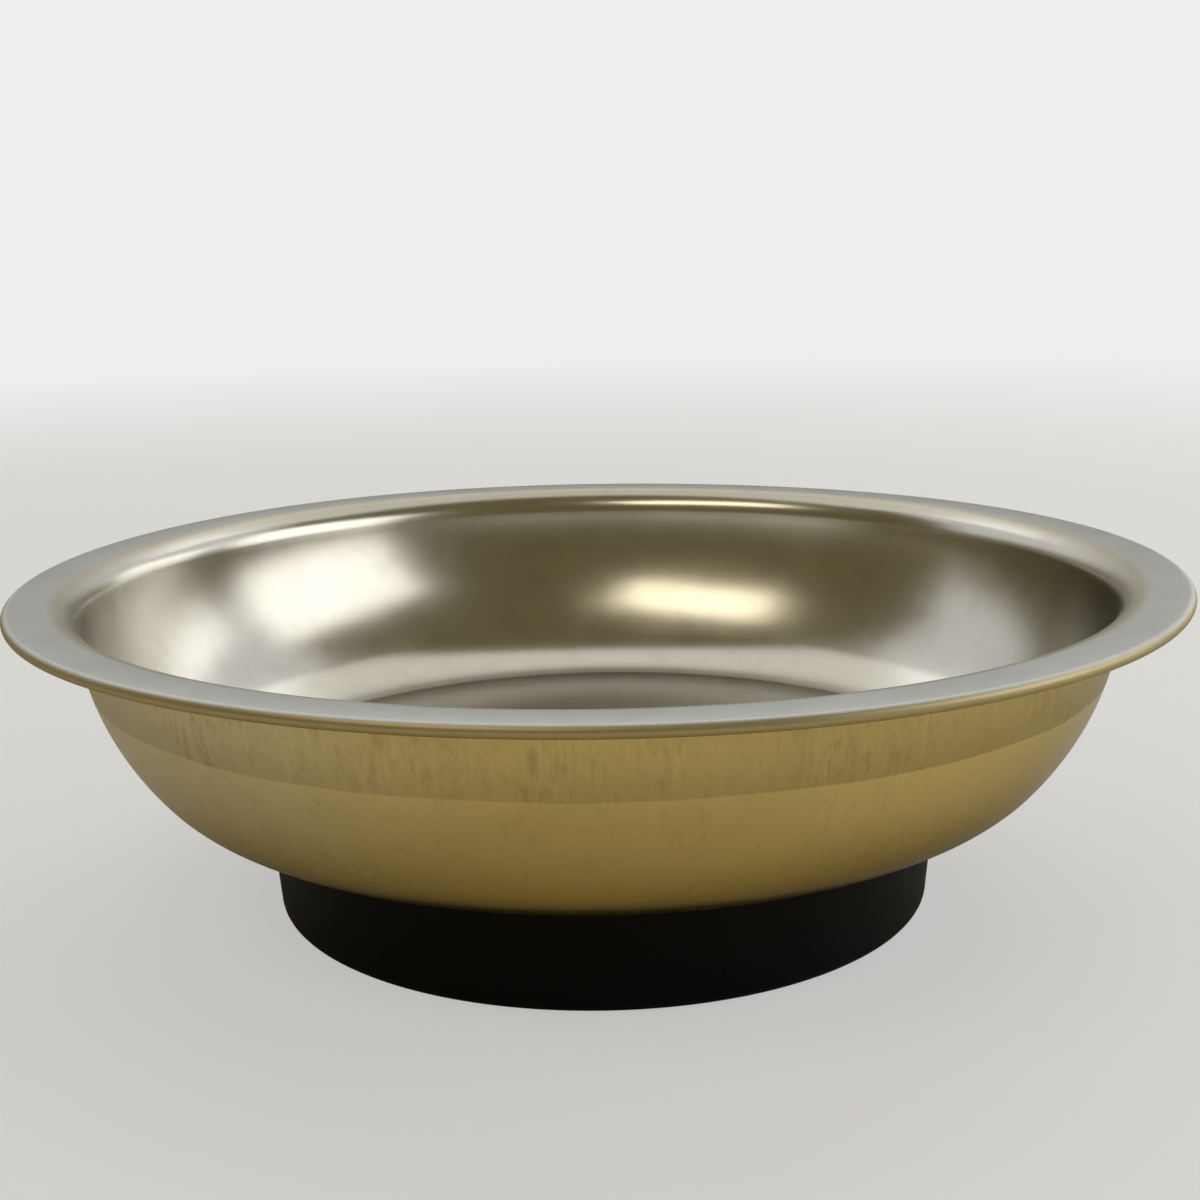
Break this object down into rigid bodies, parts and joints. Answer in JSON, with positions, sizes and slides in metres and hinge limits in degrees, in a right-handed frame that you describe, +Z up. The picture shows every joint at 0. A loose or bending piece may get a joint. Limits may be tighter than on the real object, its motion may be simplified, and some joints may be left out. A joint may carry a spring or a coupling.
{
  "type": "magnetic parts tray",
  "caption": "Round pressed stainless parts tray with a hemmed rim and flat floor, standing on a ring magnet in a black rubber cover that holds steel fasteners.",
  "frame": {"origin": "centre of the rubber cover's underside, on the surface that the tray stands on", "axes": "+Z up along the tray's axis, +X to the right and +Y away from the viewer of the picture"},
  "size_m": [0.15, 0.15, 0.0432],
  "materials": {
    "stainless": "satin",
    "rubber": "matte",
    "ferrite": "matte",
    "foam": "matte",
    "zinc": "satin",
    "spring_steel": "satin"
  },
  "bodies": {
    "root": {"dish": "stainless", "weld_stud": "zinc", "foam_ring": "foam", "ring_magnet": "ferrite", "rubber_cover": "rubber", "spacer_sleeve": "zinc", "flat_washer": "zinc", "spring_washer": "spring_steel", "hex_nut": "zinc"}
  },
  "joints": []
}
